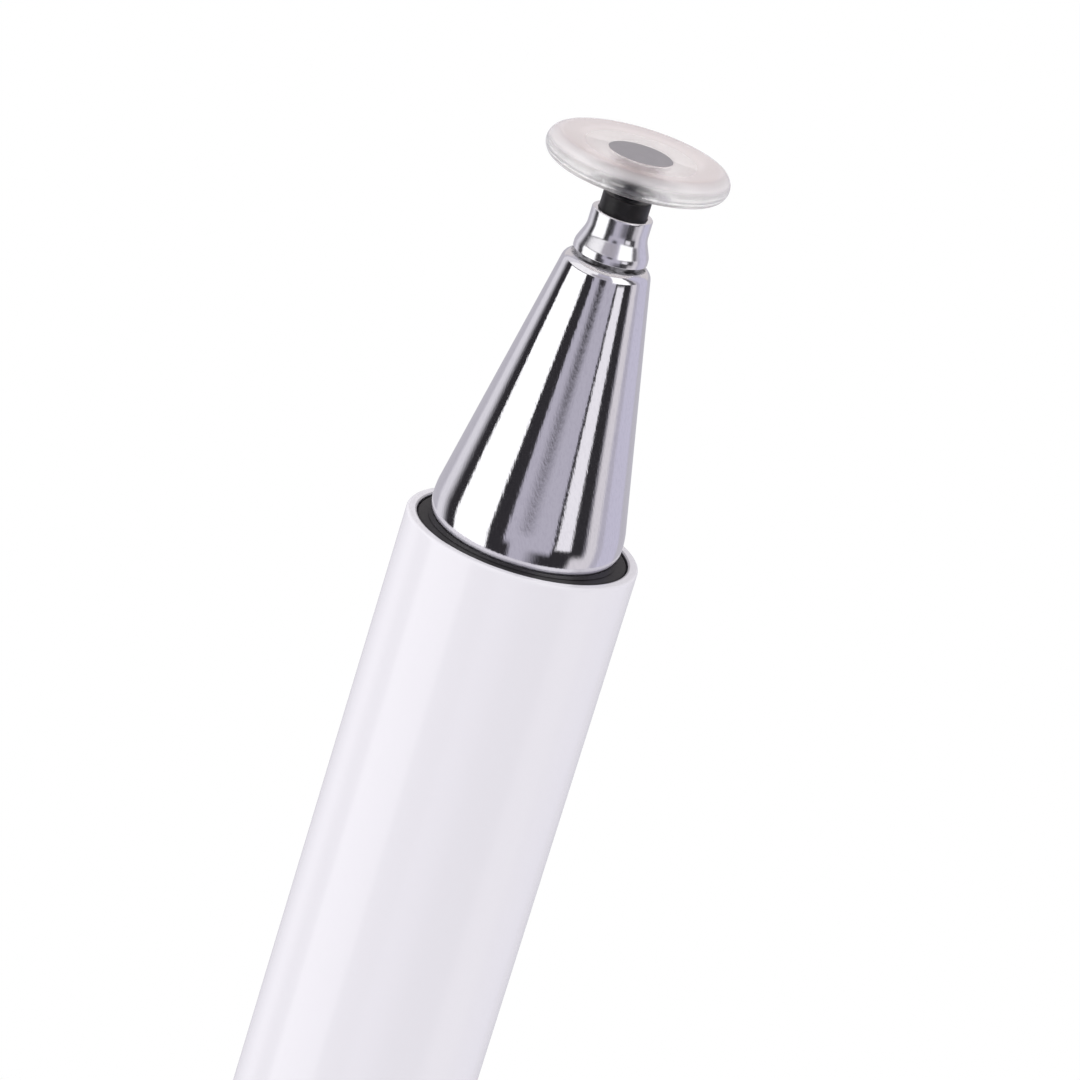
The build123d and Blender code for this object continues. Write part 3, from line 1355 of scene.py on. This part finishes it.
@dataclass
class StudGroup(Group):
    """The turned pin with the ball that the disc tilts on, and the clip that keeps it."""

    body: ClassVar[Body] = Body.STUD
    neck_radius: float = 0.22 * MM
    pin_radius: float = 0.4 * MM
    groove_radius: float = 0.32 * MM
    flange_radius: float = 0.5 * MM
    flange_height: float = 0.1 * MM
    flange_gap: float = 0.02 * MM
    clip_room: float = 0.03 * MM
    tail_chamfer: float = 0.1 * MM

    def build(self) -> None:
        """Build the pin; the clip keeps its own node."""
        self.seat("stud_pin", self.turn_pin(), Slot.STEEL, "ball_stud")
        self.pieces["stud_clip"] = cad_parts["stud_clip"]

    def turn_pin(self) -> Mesh:
        """Turn the pin: a grooved tail, a flange, a neck and a ball.

        Returns:
            The pin's mesh.
        """
        groove_low = CLIP.bottom - self.clip_room
        groove_high = CLIP.top + self.clip_room
        flange = STEM.top + self.flange_gap
        flange_top = flange + self.flange_height
        ball = PIN.top - BALL_RADIUS
        neck_top = ball - math.sqrt(BALL_RADIUS**2 - self.neck_radius**2)
        outline = Outline(0.0, PIN.bottom).lines(
            (self.pin_radius - self.tail_chamfer, PIN.bottom),
            (self.pin_radius, PIN.bottom + self.tail_chamfer),
            (self.pin_radius, groove_low),
            (self.groove_radius, groove_low),
            (self.groove_radius, groove_high),
            (self.pin_radius, groove_high),
            (self.pin_radius, flange),
            (self.flange_radius, flange),
            (self.flange_radius, flange_top),
            (self.neck_radius, flange_top),
            (self.neck_radius, neck_top),
        )
        outline.arc((BALL_RADIUS, ball), (0.0, ball))
        outline.arc((0.0, PIN.top), (0.0, ball))
        return outline.turned()

    def dress(self) -> None:
        """Finish the pin and the clip in bare steel."""
        self.coat("stud_pin", DARK_STEEL)
        self.coat("stud_clip", SPRING_STEEL)


@dataclass
class DiscGroup(Group):
    """The clear touch disc with its clear hub and the metal button in its middle."""

    body: ClassVar[Body] = Body.DISC
    seat_radius: float = 0.57 * MM
    ball_top_gap: float = 0.03 * MM
    hub_round: float = 0.12 * MM
    hub_body: float = 0.3
    shade_band_height: float = 0.14 * MM
    shade_band_edge: float = 0.03 * MM
    button_round: float = 0.04 * MM
    edge_bulge: float = 0.48 * MM
    land_width: float = 0.5 * MM
    dish_depth: float = 0.12 * MM
    dish_round: float = 6.0 * MM
    film_start: float = 0.45 * MM
    film_full: float = 0.18 * MM

    def build(self) -> None:
        """Build the hub, the button and the disc."""
        self.seat("hub_socket", self.turn_hub(), Slot.HUB, "ball_socket")
        self.seat("centre_button", self.turn_button(), Slot.PLATE, "contact_plate")
        self.seat("clear_plate", self.turn_disc(), Slot.CLEAR, "touch_disc")

    def turn_hub(self) -> Mesh:
        """Turn the hub, open above for the ball, with a seat that closes under it.

        Returns:
            The hub's mesh.
        """
        ball = HUB.top - self.ball_top_gap - BALL_RADIUS
        lip = math.sqrt(self.seat_radius**2 - (ball - HUB.bottom) ** 2)
        outline = Outline(lip, HUB.bottom).lines(
            (HUB.radius, HUB.bottom, self.hub_round),
            (HUB.radius, HUB.top),
            (self.seat_radius, HUB.top),
            (self.seat_radius, ball),
        )
        return outline.arc((lip, HUB.bottom), (0.0, ball)).close().turned()

    def turn_button(self) -> Mesh:
        """Turn the flat button.

        Returns:
            The button's mesh.
        """
        outline = Outline(0.0, BUTTON.bottom).lines(
            (BUTTON.radius, BUTTON.bottom),
            (BUTTON.radius, BUTTON.top, self.button_round),
            (0.0, BUTTON.top),
        )
        return outline.turned()

    def turn_disc(self) -> Mesh:
        """Turn the disc, with a bulging edge, a dished face, the hub's bore and the button's recess.

        Returns:
            The disc's mesh.
        """
        bore = HUB.radius + FIT
        recess = BUTTON.radius + FIT
        face = DISC.radius - self.edge_bulge
        middle = (DISC.top + DISC.bottom) / 2
        edge_radius = ((DISC.top - middle) ** 2 + self.edge_bulge**2) / (2 * self.edge_bulge)
        edge_centre = (DISC.radius - edge_radius, middle)
        outline = Outline(bore, DISC.bottom).lines((face, DISC.bottom))
        outline.arc((DISC.radius, middle), edge_centre)
        outline.arc((face, DISC.top), edge_centre)
        outline.lines(
            (face - self.land_width, DISC.top, self.dish_round),
            (recess, DISC.top - self.dish_depth),
            (recess, BUTTON.bottom),
            (bore, BUTTON.bottom),
        )
        return outline.close().turned()

    def dress(self) -> None:
        """Finish the hub, the button and the disc."""
        # The hub is painted dark up to this height: painted shade.
        lip = HUB.bottom + self.shade_band_height
        face = DISC.top
        clear_hub = ClearPlastic("clear_hub", body=self.hub_body, shade_band_low=lip, shade_band_high=lip + self.shade_band_edge)
        clear_disc = ClearPlastic(
            "clear_disc", film_low=face - self.film_start, film_high=face - self.film_full
        )
        self.coat("hub_socket", clear_hub)
        self.coat("centre_button", SATIN_METAL)
        self.coat("clear_plate", clear_disc)


@dataclass(frozen=True)
class Card:
    """A panel of the studio that polished surfaces mirror, seen from the pen.

    Attributes:
        left: The azimuth of its left edge, in degrees, 0 being the camera's side.
        right: The azimuth of its right edge.
        low: The elevation of its lower edge.
        high: The elevation of its upper edge.
        colour: Its brightness and tint.
        soft: How wide its upright edges are.
        blur: How wide its level edges are.
    """

    left: float
    right: float
    low: float
    high: float
    colour: Colour
    soft: float = 3.0
    blur: float = 3.0


# Colours of the studio's panels
DARK: Colour = (0.031, 0.029, 0.033, 1.0)
LILAC: Colour = (0.50, 0.48, 0.56, 1.0)
PALE_LILAC: Colour = (0.60, 0.58, 0.70, 1.0)
DUSK_LILAC: Colour = (0.54, 0.525, 0.575, 1.0)
PALE_GREY: Colour = (0.78, 0.765, 0.81, 1.0)
PINK_WHITE: Colour = (0.74, 0.71, 0.745, 1.0)
SMOKE: Colour = (0.42, 0.40, 0.44, 1.0)
SLATE: Colour = (0.13, 0.125, 0.135, 1.0)
BLUSH: Colour = (0.70, 0.665, 0.675, 1.0)
CREAM: Colour = (1.04, 1.03, 1.04, 1.0)
SOFTBOX: Colour = (1.3, 1.3, 1.3, 1.0)
STRIP: Colour = (0.93, 0.91, 0.95, 1.0)

# The panels on the lilac wall, each hung in front of those before it
CARDS = (
    Card(-108.0, -18.0, 17.0, 90.0, CREAM, 8.0, 2.0),
    Card(-190.0, -133.0, -90.0, 90.0, DUSK_LILAC, 9.0),
    Card(-133.0, -104.0, -90.0, 90.0, PALE_GREY, 9.0),
    Card(-190.0, -140.0, 6.0, 34.0, BLUSH, 10.0, 8.0),
    Card(-111.0, -60.0, -90.0, 17.0, DARK, 19.0, 2.0),
    Card(-75.0, -20.1, -90.0, 17.5, DARK, 4.0, 2.0),
    Card(-89.7, -39.9, -90.0, 13.5, SOFTBOX, 2.0, 2.0),
    Card(139.0, 190.0, -90.0, 90.0, DUSK_LILAC, 12.0),
    Card(140.0, 190.0, 6.0, 34.0, BLUSH, 10.0, 8.0),
    Card(103.5, 139.0, -90.0, 90.0, PALE_LILAC, 8.0),
    Card(94.0, 103.5, -90.0, 90.0, LILAC, 6.0),
    Card(78.0, 94.5, -90.0, 90.0, PINK_WHITE, 7.0),
    Card(36.2, 62.0, -90.0, 12.0, DARK, 2.5),
    Card(52.0, 78.3, -90.0, 12.0, DARK, 10.0),
    Card(40.5, 58.7, -8.0, 7.5, STRIP, 2.0, 4.0),
    Card(26.0, 77.0, 12.0, 62.0, SOFTBOX, 5.0, 4.0),
    Card(75.0, 92.0, 12.0, 62.0, SLATE, 8.0, 5.0),
    Card(-31.0, 16.0, 21.0, 40.0, SMOKE, 12.0, 8.0),
    Card(-4.0, 9.0, 4.0, 17.0, DARK, 17.0, 6.5),
    Card(-3.0, 9.0, 5.8, 17.0, DARK, 8.0, 1.2),
    Card(-24.0, -12.0, -90.0, -12.0, DARK, 7.0, 10.0),
    Card(15.0, 60.0, -90.0, -14.5, DARK, 26.0, 8.0),
    Card(62.0, 90.0, -90.0, -14.5, PINK_WHITE, 10.0, 8.0),
)


@dataclass
class Studio:
    """The pale floor, the soft light round the pen and the camera; angles are in degrees."""

    floor_steps: int = 96
    ambient: Colour = (0.95, 0.94, 0.975, 1.0)
    key_azimuth: float = -80.0
    key_elevation: float = 38.0
    key_distance: float = 700.0 * MM
    key_size: float = 420.0 * MM
    key_power: float = 0.75
    lens: float = 210.0
    near_share: float = 0.1
    distance: float = 235.0 * MM
    elevation: float = 19.2
    lean: float = 17.22
    aim_right: float = 0.648 * MM
    aim_up: float = 0.071 * MM

    def build(self) -> None:
        """Lay the floor, hang the light and set the camera."""
        self.lay_floor()
        self.hang_world()
        self.hang_key()
        self.set_camera()
        bpy.context.scene.view_settings.view_transform = "Standard"

    def lay_floor(self) -> None:
        """Lay a round floor that fades into the white behind it."""
        finish = PaleFloor()
        mesh = bmesh.new()
        bmesh.ops.create_circle(mesh, cap_ends=True, segments=self.floor_steps, radius=finish.radius)
        floor = shaped("floor", mesh)
        floor.data.materials.append(finish.material())

    def hang_world(self) -> None:
        """Surround the pen with white for the camera, and with panels for its mirrors."""
        world = bpy.data.worlds.new("studio")
        world.use_nodes = True
        bpy.context.scene.world = world
        shader = Shader(world.node_tree)
        camera, glossy, through = shader.rays()
        open_view = shader.math(Operation.MAXIMUM, camera, through)
        mirrored = shader.mix(glossy, self.ambient, self.panels(shader))
        shown = shader.mix(open_view, mirrored, WHITE)
        sky = shader.out("ShaderNodeBackground", None, {"Color": shown, "Strength": 1.0})
        shader.node("ShaderNodeOutputWorld", None, {"Surface": sky})

    def panels(self, shader: Shader) -> Value:
        """Hang the studio's panels by direction.

        Args:
            shader: The world's shader.

        Returns:
            The colour that a mirror sees.
        """
        across, deep, up = shader.parts(shader.out("ShaderNodeTexCoord", output="Generated"))
        azimuth = shader.math(Operation.ARCTAN2, across, -1.0 * deep) * RADIAN
        elevation = shader.math(Operation.ARCSINE, up) * RADIAN
        colour: Colour | Value = LILAC
        for card in CARDS:
            soft, blur = card.soft / 2, card.blur / 2
            wide = shader.ramp(azimuth, card.left - soft, card.left + soft)
            wide = wide * shader.ramp(azimuth, card.right + soft, card.right - soft)
            tall = shader.ramp(elevation, card.low - blur, card.low + blur)
            tall = tall * shader.ramp(elevation, card.high + blur, card.high - blur)
            colour = shader.mix(wide * tall, colour, card.colour)
        return colour

    def hang_key(self) -> None:
        """Hang the soft key light, up and to the left of the camera."""
        lamp = bpy.data.lights.new("key", "AREA")
        lamp.shape = "DISK"
        lamp.size = self.key_size
        lamp.energy = self.key_power
        key = placed("key", lamp)
        aim = Vector((0.0, 0.0, cad_box[1].z / 2))
        away = self.direction(self.key_azimuth, self.key_elevation)
        key.location = aim + away * self.key_distance
        key.rotation_euler = away.to_track_quat("Z", "Y").to_euler()
        key.visible_glossy = False
        key.visible_camera = False

    @staticmethod
    def direction(azimuth: float, elevation: float) -> Vector:
        """Return the way from the pen to an azimuth and an elevation, in degrees."""
        turn, rise = math.radians(azimuth), math.radians(elevation)
        return Vector((math.sin(turn) * math.cos(rise), -math.cos(turn) * math.cos(rise), math.sin(rise)))

    def set_camera(self) -> None:
        """Set the camera at the photograph's angle, rolled so that the pen leans to the right."""
        lens = bpy.data.cameras.new("camera")
        lens.lens = self.lens
        lens.clip_start = self.near_share * self.distance
        camera = placed("camera", lens)
        rim = Vector((0.0, 0.0, TUBE.top))
        place = rim + self.direction(0.0, self.elevation) * self.distance
        right = Vector((1.0, 0.0, 0.0))
        up = right.cross(rim - place).normalized()
        aim = rim + right * self.aim_right + up * self.aim_up
        back = (place - aim).normalized()
        right = Vector(AXIS).cross(back).normalized()
        up = back.cross(right)
        turn = math.radians(self.lean)
        rolled_right = right * math.cos(turn) + up * math.sin(turn)
        rolled_up = up * math.cos(turn) - right * math.sin(turn)
        facing = Matrix((rolled_right, rolled_up, back)).transposed()
        camera.matrix_world = Matrix.Translation(place) @ facing.to_4x4()
        bpy.context.scene.camera = camera


def main() -> None:
    """Build and dress the groups in order, then set the studio round them."""
    logging.basicConfig(level=logging.INFO, format="%(message)s")
    groups: tuple[Group, ...] = (BarrelGroup(), SealGroup(), NoseGroup(), StudGroup(), DiscGroup())
    for group in groups:
        group.build()
        group.dress()
    Studio().build()


if __name__ == "__main__":
    main()
